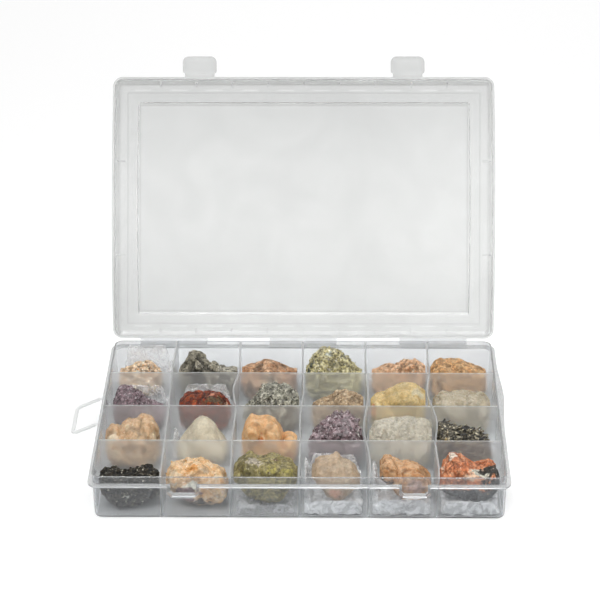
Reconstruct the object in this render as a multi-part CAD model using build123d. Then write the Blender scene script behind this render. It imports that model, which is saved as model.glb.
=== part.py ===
from build123d import *
import os
from math import cos, pi, radians, sin

# Mineral specimen box: a hinged polypropylene tray of twenty-four compartments, with its specimens.
# Millimetres. X to the right, Y to the back, Z up. The origin is the middle of the face that the tray
# stands on. The lid is modelled shut and then swung open about its living hinge.

os.makedirs("parts", exist_ok=True)

# ---------------------------------------------------------------- driving dimensions
COLUMNS, ROWS = 6, 4
COLUMN_PITCH = 44.87
ROW_PITCH = 44.83
WALL = 1.1
DIVIDER = 1.0
FLOOR = 1.3
DRAFT = 0.02  # the tray's outer walls lean in by this much for each millimetre down

TRAY_HALF_X, TRAY_HALF_Y = 134.85, 90.7  # outside of the walls at their top
TRAY_HEIGHT = 32.3
TRAY_CORNER = 6.0
FLOOR_ROUND = 2.4

LEDGE_HALF_X, LEDGE_HALF_Y = 137.5, 94.3
LEDGE_CORNER = 7.0
LEDGE_TOP, LEDGE_THICK = 27.4, 1.2
LEDGE_BULGE = 2.3  # the right ledge is warped outwards beside the second and third rows
BULGE_Y, BULGE_REACH = 22.0, 46.0

CATCH_X = 75.0
CATCH_HALF_WIDTH = 10.2
CATCH_RIB = 1.8
CATCH_BOTTOM, CATCH_BAR = 19.2, 1.4
CATCH_CHAMFER = 2.6
CATCH_LIP_HALF_WIDTH, CATCH_LIP_THICK, CATCH_LIP_BOTTOM = 5.5, 1.2, 18.7

HINGE_Y = 97.25
HINGE_Z = LEDGE_TOP
LID_OPEN = 117.7  # degrees from shut
FILM_THICK = 0.4
FILM_HALF_WIDTH = 24.2
FILM_X = {"left": -93.3, "centre": 0.0, "right": 93.7}

LID_GAP = 0.05
LID_BOW = 1.0
LID_FLANGE = 1.2
LID_SKIN = 1.1
# inside of the lid: how far in from its edge, and how far above the ledge
LID_INSIDE = ((2.2, 0.0), (2.3, 5.2), (4.2, 12.2), (5.0, 13.4), (10.4, 13.4), (18.0, 14.4), (18.7, 15.5))
GUSSET_THICK, GUSSET_LENGTH, GUSSET_LOW = 0.9, 4.2, 6.0
GUSSET_Y = 34.0
GUSSET_PITCH_X, GUSSETS_PER_SIDE = 26.0, 9

LATCH_X = 75.0
LATCH_AXIS_REACH = 1.25  # from the lid's edge to the fold line
LATCH_HALF_WIDTH, LATCH_LENGTH, LATCH_THICK = 12.2, 12.3, 1.3
LATCH_TIP_ROUND, LATCH_ROOT_ROUND = 4.2, 1.8
LATCH_NECK_HALF_WIDTH = 10.7
HOOK_FROM_AXIS, HOOK_LENGTH, HOOK_DEPTH, HOOK_HALF_WIDTH = 9.6, 1.4, 1.6, 6.7
TIP_BEAD, TIP_BEAD_DEPTH = 1.5, 0.7

HANDLE_Y = 1.0
HANDLE_AXIS_X, HANDLE_AXIS_Z = -138.5, 26.8
HANDLE_DROOP = 24.0  # degrees below level
HANDLE_REACH, HANDLE_HALF_WIDTH = 19.6, 18.2
HANDLE_BAR, HANDLE_THICK = 2.5, 1.8
HANDLE_CORNER, HANDLE_ROOT = 5.0, 0.9
HANDLE_EDGE_ROUND = 0.5

# sideways warp of the tops of the column walls, from the back wall to the front wall
BOW_STATIONS = (90.0, 67.0, 45.0, 22.0, 0.0, -22.0, -45.0, -67.0, -90.0)
BOW = (
    (-0.6, -1.0, -1.3, -1.1, -0.6, -0.3, -0.3, -0.3, -0.3),
    (0.1, 0.6, 0.7, -2.3, 0.2, 0.2, -0.4, 0.0, 0.4),
    (0.0, 0.4, 0.8, 1.6, 0.4, -0.4, 0.2, 0.1, 0.0),
    (0.0, 0.0, 0.1, 0.9, 0.1, -2.1, -1.0, 1.2, 0.5),
    (-0.1, -1.2, -0.6, -3.0, -0.4, 2.2, 0.2, 0.8, 0.8),
)
STRAIGHT_TO = 9.0  # below this height the column walls stand straight

# Specimens, as (row, column): left edge, right edge, both from the middle of the compartment, front to
# back size, shift back, and the heights of the crest at nine even places from left to right.
SPECIMENS = {
    (1, 1): (-18.7, 11.2, 27, 1.5, (15, 16, 17, 19.5, 19.5, 21.5, 20, 16, 12.5)),
    (1, 2): (-20.6, 20.6, 28, 2.0, (20, 26, 34.5, 28.5, 23, 20, 20, 20, 18)),
    (1, 3): (-20.8, 18.6, 30, 1.0, (18, 19.5, 21.5, 25, 25, 24, 20.5, 20, 18)),
    (1, 4): (-20.0, 19.8, 31, 1.0, (19, 31, 36, 37.5, 36.5, 32.5, 29, 21, 17.5)),
    (1, 5): (-18.0, 20.2, 29, 1.5, (17.5, 20.5, 21, 22.5, 22.5, 26, 25.5, 25.5, 21.5)),
    (1, 6): (-20.8, 19.0, 31, 1.0, (21, 27, 27, 25.5, 27, 24.5, 21.5, 21.5, 18)),
    (2, 1): (-19.8, 16.2, 30, 1.5, (12, 28, 26.5, 25.5, 22, 16, 14, 11.5, 10.5)),
    (2, 2): (-17.8, 18.2, 29, -1.0, (17, 22, 24.5, 23.5, 24, 23, 24.5, 20.5, 13.5)),
    (2, 3): (-18.4, 20.6, 30, 1.5, (14, 17.5, 24.5, 30.5, 34, 33, 31, 30.5, 24)),
    (2, 4): (-15.4, 20.4, 29, -1.0, (17.5, 22, 22, 23.5, 27.5, 30, 28.5, 27, 25)),
    (2, 5): (-19.4, 18.4, 32, 0.5, (21.5, 26, 26, 29.5, 33, 32.5, 34.5, 33, 29)),
    (2, 6): (-20.8, 19.0, 31, 0.5, (23.5, 26, 26.5, 26, 26, 27.5, 26, 25.5, 22.5)),
    (3, 1): (-20.0, 16.4, 31, 1.0, (24, 28, 25, 32.5, 30, 34.5, 36, 30, 14.5)),
    (3, 2): (-15.8, 18.0, 32, 0.5, (11, 16.5, 22.5, 29.5, 30.5, 28.5, 24, 15.5, 10.5)),
    (3, 3): (-17.4, 20.0, 30, 1.5, (20, 37, 33, 31.5, 35, 31, 17, 22, 18.5)),
    (3, 4): (-17.0, 19.4, 32, 0.5, (12.5, 25, 26, 33, 35, 35.5, 37, 32.5, 19)),
    (3, 5): (-21.0, 21.0, 33, 0.0, (25, 32, 31.5, 32, 33.5, 35, 33, 33.5, 32)),
    (3, 6): (-19.0, 17.3, 31, 0.5, (31, 29.5, 26, 23, 23, 20, 21.5, 15.5, 11)),
    (4, 1): (-20.1, 19.6, 33, 0.0, (18.5, 20, 19.5, 17, 17, 19.5, 21.5, 20, 16.5)),
    (4, 2): (-20.6, 20.2, 31, 0.5, (18, 26, 24.5, 26, 27.5, 26, 23, 23, 11.5)),
    (4, 3): (-21.0, 21.0, 32, 0.5, (19, 26, 29, 26.5, 26.5, 29, 25.5, 25, 18)),
    (4, 4): (-14.5, 17.5, 28, 1.5, (19, 25.5, 26, 26.5, 29, 25, 23.5, 21.5, 13)),
    (4, 5): (-14.6, 19.2, 28, 1.5, (22, 28.5, 25, 22, 22.5, 22.5, 20.5, 17, 12.5)),
    (4, 6): (-20.0, 19.8, 30, 1.0, (14.5, 29, 30, 27.5, 23.5, 19.5, 23, 25.5, 14.5)),
}
RINGS, RING_POINTS = 13, 16
END_SHRINK = 0.75  # depth of the rings at a specimen's two ends, as a share of the full depth
END_STEP = 0.7
FULLNESS = 0.4  # how fast a specimen fills out from its ends, 0 for at once
BASE_SINK = 0.12  # how much of a specimen's section is cut off flat where it stands
BELLY = 7.0  # how high a specimen's underside curves up at its two ends
BELLY_POWER = 6

# How far a specimen's skin goes in and out, as a share of its size. The others are plainly rough.
ROUGHNESS = 0.1
SMOOTH_ROUGHNESS = {(3, 2): 0.02, (3, 5): 0.05, (4, 4): 0.04, (2, 5): 0.06, (2, 1): 0.06, (1, 4): 0.07}

# Rounded masses that stand out from specimens, as (x, y, z, then half sizes the same ways), measured from
# the middle of the specimen's foot.
LUMPS = {
    (1, 2): ((-7.0, -7.0, 20.0, 6.0, 8.0, 9.0), (11.0, -8.0, 14.0, 8.0, 8.0, 8.0)),
    (1, 3): ((-1.5, -9.5, 17.0, 5.2, 6.0, 9.5),),
    (1, 5): ((8.5, -2.0, 20.5, 3.6, 6.0, 7.0), (-6.0, -8.0, 15.0, 7.0, 7.0, 8.0)),
    (1, 6): ((-9.0, -8.0, 19.0, 7.0, 7.0, 8.0), (6.0, -8.0, 18.0, 7.0, 7.0, 7.0)),
    (2, 2): ((-8.0, -8.0, 15.0, 8.0, 7.0, 8.0), (8.0, -8.0, 16.0, 7.0, 7.0, 8.0)),
    (2, 3): ((11.0, -11.0, 22.0, 6.0, 5.0, 6.0), (-5.0, -12.0, 18.0, 5.0, 4.0, 5.0)),
    (2, 4): ((-6.0, -8.0, 16.0, 7.0, 7.0, 7.0), (12.0, -8.0, 20.0, 6.0, 6.0, 7.0)),
    (2, 5): ((-14.0, -8.0, 17.0, 5.0, 8.0, 9.0), (4.0, -8.0, 25.0, 10.0, 8.0, 9.0)),
    (2, 6): ((-10.0, -9.0, 18.0, 7.0, 7.0, 8.0), (5.0, -8.0, 19.0, 7.0, 8.0, 8.0)),
    (3, 1): (
        (-13.5, -7.0, 19.0, 5.0, 7.0, 9.5),
        (-6.0, -12.0, 17.0, 4.0, 4.0, 7.0),
        (-2.0, -5.0, 22.0, 4.5, 6.0, 9.0),
        (9.5, -4.0, 24.0, 7.5, 9.0, 11.5),
        (3.5, -11.0, 17.0, 4.0, 4.0, 8.0),
    ),
    (3, 3): (
        (-8.5, -5.0, 25.0, 6.5, 8.0, 10.5),
        (2.5, -5.0, 24.5, 6.5, 8.0, 10.0),
        (14.8, -6.0, 14.0, 4.8, 7.0, 9.0),
        (2.0, -12.0, 14.0, 9.0, 4.0, 8.0),
    ),
    (3, 4): ((4.0, -10.0, 26.0, 8.0, 6.0, 8.0), (-8.0, -9.0, 18.0, 7.0, 7.0, 8.0)),
    (3, 6): ((-12.0, -9.0, 23.0, 6.0, 7.0, 6.0), (4.0, -10.0, 18.0, 8.0, 6.0, 6.0)),
    (4, 1): ((-9.0, -10.0, 15.0, 8.0, 7.0, 7.0), (8.0, -10.0, 16.0, 8.0, 7.0, 8.0)),
    (4, 2): (
        (-13.0, -5.0, 20.0, 6.0, 8.0, 7.5),
        (-4.4, -13.0, 11.5, 6.5, 3.0, 5.5),
        (1.0, -5.0, 20.5, 7.5, 8.0, 8.0),
        (13.0, -9.0, 13.0, 6.5, 6.5, 10.0),
    ),
    (4, 3): (
        (-10.0, -7.0, 22.0, 7.0, 7.0, 8.0),
        (2.0, -11.0, 21.0, 6.0, 5.5, 6.5),
        (13.0, -8.0, 19.0, 6.0, 7.0, 7.5),
    ),
    (4, 5): ((-9.0, -4.0, 22.0, 5.0, 9.0, 7.0), (7.0, -9.0, 14.0, 9.0, 6.0, 9.0)),
    (4, 6): (
        (-9.0, -7.0, 22.0, 8.0, 8.0, 8.0),
        (3.0, -9.0, 17.0, 6.5, 7.0, 7.5),
        (14.0, -8.0, 17.0, 5.0, 7.0, 8.5),
    ),
}
LUMP_MARGIN = 0.4  # lumps end this far inside a specimen's front and back

# Undersides that don't follow the plain belly, as heights at nine even places from left to right.
UNDERSIDES = {
    (4, 1): (13, 5, 1, 0, 0, 0.5, 2, 5, 10),
    (4, 2): (12, 9, 7, 4, 0, 0, 1, 4, 8),
    (4, 3): (14, 8.5, 4, 2, 1, 0, 2.5, 9, 14),
    (4, 4): (16, 13, 7, 2, 0, 0, 3, 8, 10),
    (4, 5): (15, 14, 9, 4, 0, 0, 0, 2, 7),
    (4, 6): (8, 5, 4, 3, 2, 0, 0, 3, 10),
}

# Clear bags, as (row, column): the sides on which the film stands up beside the specimen, and how high.
BAGS = {
    (1, 1): {"rear": 29.0, "right": 22.0},
    (2, 1): {"rear": 22.0, "right": 17.0},
    (2, 2): {"rear": 23.0},
    (3, 2): {"left": 18.0},
    (4, 3): {"front": 8.0},
    (4, 4): {"front": 11.0, "left": 23.0, "rear": 22.0},
    (4, 5): {"front": 12.0, "left": 20.0},
    (4, 6): {"front": 11.0},
}
BAG_HALF_X, BAG_HALF_Y = 19.2, 20.5
BAG_THICK = 3.0
BAG_EDGE = 1.2
BAG_GAP = 0.6  # between standing film and the specimen
BAG_CREST = 1.4  # thickness of standing film at its top


# ---------------------------------------------------------------- shared shapes
def outline(half_x, half_y, corner, bow=0.0):
    """Face of a rounded rectangle. Its two short sides may bow outwards."""
    inner_x, inner_y = half_x - corner, half_y - corner
    diagonal = corner * cos(pi / 4)

    def corner_arc(sx, sy, swap):
        ends = [(sx * inner_x, sy * half_y), (sx * half_x, sy * inner_y)]
        middle = (sx * (inner_x + diagonal), sy * (inner_y + diagonal))
        first, last = reversed(ends) if swap else ends
        return ThreePointArc(first, middle, last)

    edges = [
        Line((-inner_x, -half_y), (inner_x, -half_y)),
        corner_arc(1, -1, False),
        side(half_x, inner_y, bow, 1),
        corner_arc(1, 1, True),
        Line((inner_x, half_y), (-inner_x, half_y)),
        corner_arc(-1, 1, False),
        side(half_x, inner_y, bow, -1),
        corner_arc(-1, -1, True),
    ]
    return Face(Wire(edges))


def side(half_x, inner_y, bow, sign):
    """One short side of an outline, drawn upwards on the right and downwards on the left."""
    start, end = (sign * half_x, -sign * inner_y), (sign * half_x, sign * inner_y)
    if bow == 0:
        return Line(start, end)
    return ThreePointArc(start, (sign * (half_x + bow), 0), end)


def stack(sections, half_x, half_y, corner, bow=0.0):
    """Ruled solid through outlines, each given as (inset, height)."""
    faces = [
        Pos(0, 0, height) * outline(half_x - inset, half_y - inset, corner - min(inset, corner - 1), bow)
        for inset, height in sections
    ]
    return loft(faces, ruled=True)


def block(low, high):
    """Box between two corners."""
    size = [b - a for a, b in zip(low, high)]
    middle = [(a + b) / 2 for a, b in zip(low, high)]
    return Pos(*middle) * Box(*size)


def column_middle(column):
    """X of a compartment's middle. The two end columns are a little narrower."""
    left = max((column - 1 - COLUMNS / 2) * COLUMN_PITCH, -TRAY_HALF_X + WALL)
    right = min((column - COLUMNS / 2) * COLUMN_PITCH, TRAY_HALF_X - WALL)
    return (left + right) / 2


def row_middle(row):
    """Y of a compartment's middle, row 1 at the back."""
    return (ROWS / 2 - row + 0.5) * ROW_PITCH


# ---------------------------------------------------------------- tray
def tray_sections(skin, floor, rounding):
    """Insets and heights of the tray's outside, or of its cavity for a skin above 0."""
    sections = []
    for step in range(4):
        turn = step * pi / 6
        height = floor + rounding * (1 - cos(turn))
        inset = skin + DRAFT * (TRAY_HEIGHT - height) + rounding * (1 - sin(turn))
        sections.append((inset, height))
    return sections + [(skin, TRAY_HEIGHT)]


def tray_block():
    return stack(tray_sections(0, 0, FLOOR_ROUND), TRAY_HALF_X, TRAY_HALF_Y, TRAY_CORNER)


def tray_cavity():
    return stack(tray_sections(WALL, FLOOR, FLOOR_ROUND - WALL), TRAY_HALF_X, TRAY_HALF_Y, TRAY_CORNER)


def ledge():
    """Rim that the lid's flange lies on, warped outwards on the right."""
    plate = outline(LEDGE_HALF_X, LEDGE_HALF_Y, LEDGE_CORNER)
    near, far = BULGE_Y - BULGE_REACH, BULGE_Y + BULGE_REACH
    swell = Spline(
        (LEDGE_HALF_X, near),
        (LEDGE_HALF_X + LEDGE_BULGE, BULGE_Y),
        (LEDGE_HALF_X, far),
        tangents=[(0, 1), (0, 1)],
    )
    plate += Face(Wire([swell, Line((LEDGE_HALF_X, far), (LEDGE_HALF_X, near))]))
    return Pos(0, 0, LEDGE_TOP - LEDGE_THICK) * extrude(plate, LEDGE_THICK)


def tray_shell(outside, cavity):
    notch_half = CATCH_HALF_WIDTH - CATCH_RIB
    rim = ledge()
    for x in (-CATCH_X, CATCH_X):
        rim -= block(
            (x - notch_half, -LEDGE_HALF_Y - 1, LEDGE_TOP - 2 * LEDGE_THICK),
            (x + notch_half, -TRAY_HALF_Y, LEDGE_TOP + LEDGE_THICK),
        )
    return outside + rim - cavity


def catch(x, outside):
    """Rib that dips under the ledge like a U, with the lip that a latch hooks under."""
    top, low = LEDGE_TOP - LEDGE_THICK, CATCH_BOTTOM
    wide, narrow = CATCH_HALF_WIDTH, CATCH_HALF_WIDTH - CATCH_RIB
    bar_top = low + CATCH_BAR
    inner_chamfer = CATCH_CHAMFER - CATCH_RIB * 0.6
    right_half = [
        (0, low),
        (wide - CATCH_CHAMFER, low),
        (wide, low + CATCH_CHAMFER),
        (wide, top),
        (narrow, top),
        (narrow, bar_top + inner_chamfer),
        (narrow - inner_chamfer, bar_top),
    ]
    left_half = [(-px, pz) for px, pz in reversed(right_half[1:])]
    profile = Face(Wire.make_polygon([Vector(px, 0, pz) for px, pz in right_half + left_half]))
    depth = LEDGE_HALF_Y - TRAY_HALF_Y + 2 * WALL
    rib = Pos(x, -LEDGE_HALF_Y, 0) * extrude(profile, depth, dir=(0, 1, 0))
    lip = block(
        (x - CATCH_LIP_HALF_WIDTH, -LEDGE_HALF_Y, CATCH_LIP_BOTTOM),
        (x + CATCH_LIP_HALF_WIDTH, -LEDGE_HALF_Y + CATCH_LIP_THICK, low + CATCH_BAR / 2),
    )
    return rib + lip - outside


def column_divider(index, cavity):
    """Thin wall that stands straight at its foot and wanders at its top."""
    middle = (index + 1 - COLUMNS / 2) * COLUMN_PITCH

    def section(height, share):
        right, left = (
            [(middle + half + share * bow, y) for y, bow in zip(BOW_STATIONS, BOW[index])]
            for half in (DIVIDER / 2, -DIVIDER / 2)
        )
        edges = [
            Spline(*right),
            Line(right[-1], left[-1]),
            Spline(*reversed(left)),
            Line(left[0], right[0]),
        ]
        return Pos(0, 0, height) * Face(Wire(edges))

    wall = loft([section(0, 0), section(STRAIGHT_TO, 0), section(TRAY_HEIGHT, 1)], ruled=True)
    return wall & cavity


def row_divider(index, cavity, column_walls):
    """The six plates between two rows, cut apart by the column walls."""
    middle = (ROWS / 2 - 1 - index) * ROW_PITCH
    wall = block(
        (-TRAY_HALF_X, middle - DIVIDER / 2, 0),
        (TRAY_HALF_X, middle + DIVIDER / 2, TRAY_HEIGHT),
    )
    wall = wall & cavity
    for column_wall in column_walls:
        wall -= column_wall
    return wall


# ---------------------------------------------------------------- lid
def swing_open(shape):
    """Carry a shape that was modelled with the lid shut to where the open lid has it."""
    return shape.rotate(Axis((0, HINGE_Y, HINGE_Z), (1, 0, 0)), -LID_OPEN)


def lid_floor_height():
    return LEDGE_TOP + LID_GAP


def lid_pan(grow):
    """Solid of the lid's inside, or of its outside when grown by the skin."""
    base = lid_floor_height()
    sections = []
    for number, (inset, height) in enumerate(LID_INSIDE):
        rise = grow if number else 0
        sections.append((inset - grow, base + height + rise))
    return stack(sections, LEDGE_HALF_X, LEDGE_HALF_Y, LEDGE_CORNER, LID_BOW)


def lid_gussets():
    """Small webs in the corner between the lid's skirt and its roof."""
    foot_inset, foot = LID_INSIDE[1]
    roof = LID_INSIDE[3][1]
    base = lid_floor_height()
    half = GUSSET_THICK / 2
    webs = []
    for sx in (-1, 1):
        for y in (-GUSSET_Y, GUSSET_Y):
            x = sx * (LEDGE_HALF_X + LID_BOW - foot_inset)
            inner = x - sx * (foot_inset + GUSSET_LENGTH)
            webs.append(
                block(
                    (min(x, inner), y - half, base + GUSSET_LOW),
                    (max(x, inner), y + half, base + roof + LID_SKIN / 2),
                )
            )
    for sy in (-1, 1):
        for place in range(GUSSETS_PER_SIDE):
            x = (place - (GUSSETS_PER_SIDE - 1) / 2) * GUSSET_PITCH_X
            y = sy * (LEDGE_HALF_Y - foot_inset)
            inner = y - sy * (foot_inset + GUSSET_LENGTH / 2)
            webs.append(
                block(
                    (x - half, min(y, inner), base + foot + GUSSET_LOW / 2),
                    (x + half, max(y, inner), base + roof + LID_SKIN / 2),
                )
            )
    return webs


def lid_shell():
    base = lid_floor_height()
    flange = Pos(0, 0, base) * extrude(
        outline(LEDGE_HALF_X, LEDGE_HALF_Y, LEDGE_CORNER, LID_BOW), LID_FLANGE
    )
    outside, inside = lid_pan(LID_SKIN), lid_pan(0)
    shell = outside + flange - inside
    for web in lid_gussets():
        shell += web & outside
    return swing_open(shell)


def latch(x):
    """Tab that folds down over the catch. Its hook is on the side that faces the tray."""
    root = -LEDGE_HALF_Y - 2 * LATCH_AXIS_REACH
    axis_y, axis_z = -LEDGE_HALF_Y - LATCH_AXIS_REACH, lid_floor_height() + LID_FLANGE / 2
    low = axis_z - LATCH_THICK / 2
    tip = root - LATCH_LENGTH
    plate = Rectangle(2 * LATCH_HALF_WIDTH, LATCH_LENGTH)
    plate = fillet(plate.vertices().group_by(Axis.Y)[0], LATCH_TIP_ROUND)
    plate = fillet(plate.vertices().group_by(Axis.Y)[-1], LATCH_ROOT_ROUND)
    tab = Pos(x, (root + tip) / 2, low) * extrude(plate, LATCH_THICK)
    hook_near = axis_y - HOOK_FROM_AXIS
    hook = block(
        (x - HOOK_HALF_WIDTH, hook_near - HOOK_LENGTH, low - HOOK_DEPTH),
        (x + HOOK_HALF_WIDTH, hook_near, low),
    )
    bead_half = LATCH_HALF_WIDTH - LATCH_TIP_ROUND
    bead = block(
        (x - bead_half, tip, low + LATCH_THICK),
        (x + bead_half, tip + TIP_BEAD, low + LATCH_THICK + TIP_BEAD_DEPTH),
    )
    return swing_open(tab + hook + bead)


def latch_film(x):
    """Thin neck that the latch folds on."""
    middle = lid_floor_height() + LID_FLANGE / 2
    neck = block(
        (x - LATCH_NECK_HALF_WIDTH, -LEDGE_HALF_Y - 2 * LATCH_AXIS_REACH, middle - FILM_THICK / 2),
        (x + LATCH_NECK_HALF_WIDTH, -LEDGE_HALF_Y, middle + FILM_THICK / 2),
    )
    return swing_open(neck)


# ---------------------------------------------------------------- living hinges
def bent_strip(start, start_way, end, end_way, thick):
    """Side view of a film that leaves start along start_way and comes to end along end_way, both in
    one plane. Its two faces are one Bezier curve each."""
    reach = (end - start).length * 0.4

    def face_curve(shift):
        first = start + Vector(-start_way.Y, start_way.X) * shift
        last = end + Vector(-end_way.Y, end_way.X) * shift
        return Bezier(first, first + start_way * reach, last - end_way * reach, last)

    upper, lower = face_curve(thick / 2), face_curve(-thick / 2)
    return Face(Wire([upper, Line(upper @ 1, lower @ 1), lower, Line(lower @ 0, upper @ 0)]))


def hinge_film(x):
    """One length of the living hinge between tray and lid, as it stands with the lid open."""
    turn = radians(-LID_OPEN)
    edge_y = LEDGE_HALF_Y - HINGE_Y
    edge_z = lid_floor_height() + LID_FLANGE / 2 - HINGE_Z
    lid_edge = Vector(
        HINGE_Y + edge_y * cos(turn) - edge_z * sin(turn),
        HINGE_Z + edge_y * sin(turn) + edge_z * cos(turn),
    )
    into_lid = Vector(-cos(turn), -sin(turn))
    tray_edge = Vector(LEDGE_HALF_Y, LEDGE_TOP - LEDGE_THICK / 2)
    strip = bent_strip(tray_edge, Vector(1, 0), lid_edge, into_lid, FILM_THICK)
    upright = Plane(origin=(x - FILM_HALF_WIDTH, 0, 0), x_dir=(0, 1, 0), z_dir=(1, 0, 0))
    return extrude(upright * strip, 2 * FILM_HALF_WIDTH, dir=(1, 0, 0))


# ---------------------------------------------------------------- handle
def handle_plane():
    """Plane of the hanging handle: first axis outwards along its legs, origin on its fold line."""
    droop = radians(HANDLE_DROOP)
    return Plane(
        origin=(HANDLE_AXIS_X, HANDLE_Y, HANDLE_AXIS_Z),
        x_dir=(-cos(droop), 0, -sin(droop)),
        z_dir=(-sin(droop), 0, cos(droop)),
    )


def carry_handle():
    """Flat moulded bail with rounded corners."""
    inner_half = HANDLE_HALF_WIDTH - HANDLE_BAR
    inner_reach = HANDLE_REACH - HANDLE_BAR
    outer = Rectangle(2 * HANDLE_REACH, 2 * HANDLE_HALF_WIDTH)
    outer = fillet(outer.vertices(), HANDLE_CORNER)
    inner = Rectangle(2 * inner_reach, 2 * inner_half)
    inner = fillet(inner.vertices(), HANDLE_CORNER - HANDLE_BAR)
    bail = outer - inner
    bail -= Pos(HANDLE_ROOT - HANDLE_REACH, 0) * Rectangle(2 * HANDLE_REACH, 3 * HANDLE_HALF_WIDTH)
    solid = Pos(0, 0, -HANDLE_THICK / 2) * extrude(bail, HANDLE_THICK)
    flats = solid.faces().filter_by(Axis.Z)
    solid = fillet(flats.edges(), HANDLE_EDGE_ROUND)
    return handle_plane() * solid


def handle_film(side_sign):
    """Short film between the ledge's edge and one leg of the handle."""
    droop = radians(HANDLE_DROOP)
    leg = Vector(-cos(droop), -sin(droop))
    leg_end = Vector(HANDLE_AXIS_X, HANDLE_AXIS_Z) + leg * HANDLE_ROOT
    ledge_edge = Vector(-LEDGE_HALF_X, LEDGE_TOP - LEDGE_THICK / 2)
    strip = bent_strip(ledge_edge, Vector(-1, 0), leg_end, leg, FILM_THICK)
    far_leg = HANDLE_Y + side_sign * (HANDLE_HALF_WIDTH - HANDLE_BAR / 2)
    upright = Plane(origin=(0, far_leg + HANDLE_BAR / 2, 0), x_dir=(1, 0, 0), z_dir=(0, -1, 0))
    return extrude(upright * strip, HANDLE_BAR, dir=(0, -1, 0))


# ---------------------------------------------------------------- specimens and bags
def wander(*seeds):
    """A number between -1 and 1 that depends on the seeds alone."""
    total = sum((n + 2.3) * seed for n, seed in enumerate(seeds))
    value = sin(total * 12.9898) * 43758.5453
    return 2 * (value - int(value)) - (1 if value > 0 else -1)


def height_at(heights, share):
    """Height on the broken line through evenly spaced heights, at a share of its length."""
    place = share * (len(heights) - 1)
    number = min(int(place), len(heights) - 2)
    return heights[number] + (heights[number + 1] - heights[number]) * (place - number)


def underside(row, column, share):
    if (row, column) in UNDERSIDES:
        return height_at(UNDERSIDES[row, column], share)
    return BELLY * abs(2 * share - 1) ** BELLY_POWER


def reach_of_lump(lump, x, centre, way):
    """How far a lump reaches from a point in the plane at x, along a direction in it, and 0 if it doesn't."""
    lump_x, lump_y, lump_z, half_x, half_y, half_z = lump
    slice_share = 1 - ((x - lump_x) / half_x) ** 2
    if slice_share <= 0:
        return 0
    wide, tall = half_y * slice_share**0.5, half_z * slice_share**0.5
    from_y, from_z = (centre[0] - lump_y) / wide, (centre[1] - lump_z) / tall
    way_y, way_z = way[0] / wide, way[1] / tall
    a = way_y**2 + way_z**2
    b = from_y * way_y + from_z * way_z
    inside_root = b**2 - a * (from_y**2 + from_z**2 - 1)
    return (-b + inside_root**0.5) / a if inside_root > 0 else 0


def specimen_ring(row, column, number):
    """Points round a specimen at one of its stations from left to right, measured from its foot."""
    left, right, depth, shift, crest = SPECIMENS[row, column]
    share = number / (RINGS - 1)
    x = left + END_STEP + (right - left - 2 * END_STEP) * share
    low = underside(row, column, share)
    height = max(height_at(crest, share) - low, END_STEP)
    fullness = sin(pi * (number + 1.5) / (RINGS + 2)) ** FULLNESS
    half_depth = depth / 2 * fullness * (END_SHRINK if number in (0, RINGS - 1) else 1)
    centre = (shift, low + height * (1 - BASE_SINK) / 2)
    tall = height * (1 + BASE_SINK) / 2
    lumps = LUMPS.get((row, column), ())
    rough = SMOOTH_ROUGHNESS.get((row, column), ROUGHNESS)
    ring = []
    for k in range(RING_POINTS):
        turn = 2 * pi * k / RING_POINTS + pi / 2
        way = (cos(turn), sin(turn))
        skin = 1 / ((way[0] / half_depth) ** 2 + (way[1] / tall) ** 2) ** 0.5
        skin = max([skin] + [reach_of_lump(lump, x, centre, way) for lump in lumps])
        skin *= 1 + rough * (wander(row, column, number, k) if k else 0)
        front, back = shift - depth / 2 + LUMP_MARGIN, shift + depth / 2 - LUMP_MARGIN
        y = min(max(centre[0] + skin * way[0], front), back)
        ring.append(Vector(x, y, max(centre[1] + skin * way[1], low)))
    return ring


def specimen_rings(row, column):
    """Rings of points round a specimen, from its left end to its right end."""
    lift = FLOOR + (BAG_THICK if (row, column) in BAGS else 0)
    move = Vector(column_middle(column), row_middle(row), lift)
    rings = [specimen_ring(row, column, number) for number in range(RINGS)]
    return [[point + move for point in ring] for ring in rings]


def specimen(row, column):
    """A natural lump as a closed skin of flat facets."""
    rings = specimen_rings(row, column)
    facets = []
    for near, far in zip(rings, rings[1:]):
        for k in range(RING_POINTS):
            after = (k + 1) % RING_POINTS
            facets += [(near[k], near[after], far[after]), (near[k], far[after], far[k])]
    for ring, outwards in ((rings[0], -1), (rings[-1], 1)):
        hub = sum(ring, Vector(0, 0, 0)) * (1 / RING_POINTS) + Vector(outwards * END_STEP, 0, 0)
        facets += [(ring[k], ring[(k + 1) % RING_POINTS], hub) for k in range(RING_POINTS)]
    skins = [Face(Wire.make_polygon(corners)) for corners in facets if area_of(corners) > 1e-3]
    return Solid(Shell(skins))


def area_of(corners):
    a, b, c = corners
    return (b - a).cross(c - a).length / 2


def standing_film(row, column, direction, height):
    """Crumpled film between a specimen and one side of its compartment, as a wedge that thins upwards."""
    points = [point for ring in specimen_rings(row, column) for point in ring]
    move = Vector(column_middle(column), row_middle(row), 0)
    if direction in ("left", "right"):
        edge, reach = BAG_HALF_X, BAG_HALF_Y
        places = [point.X - move.X for point in points]
    else:
        edge, reach = BAG_HALF_Y, BAG_HALF_X
        places = [point.Y - move.Y for point in points]
    outward = 1 if direction in ("right", "rear") else -1
    inner = max(outward * place for place in places) + BAG_GAP
    foot = FLOOR + BAG_THICK / 2
    levels = ((inner, reach, foot), (edge - BAG_CREST, reach * 0.7, FLOOR + height))
    faces = []
    for near, half_length, z in levels:
        middle, thick = outward * (near + edge) / 2, edge - near
        if direction in ("left", "right"):
            faces.append(Pos(move.X + middle, move.Y, z) * Rectangle(thick, 2 * half_length))
        else:
            faces.append(Pos(move.X, move.Y + middle, z) * Rectangle(2 * half_length, thick))
    return loft(faces, ruled=True)


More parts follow.
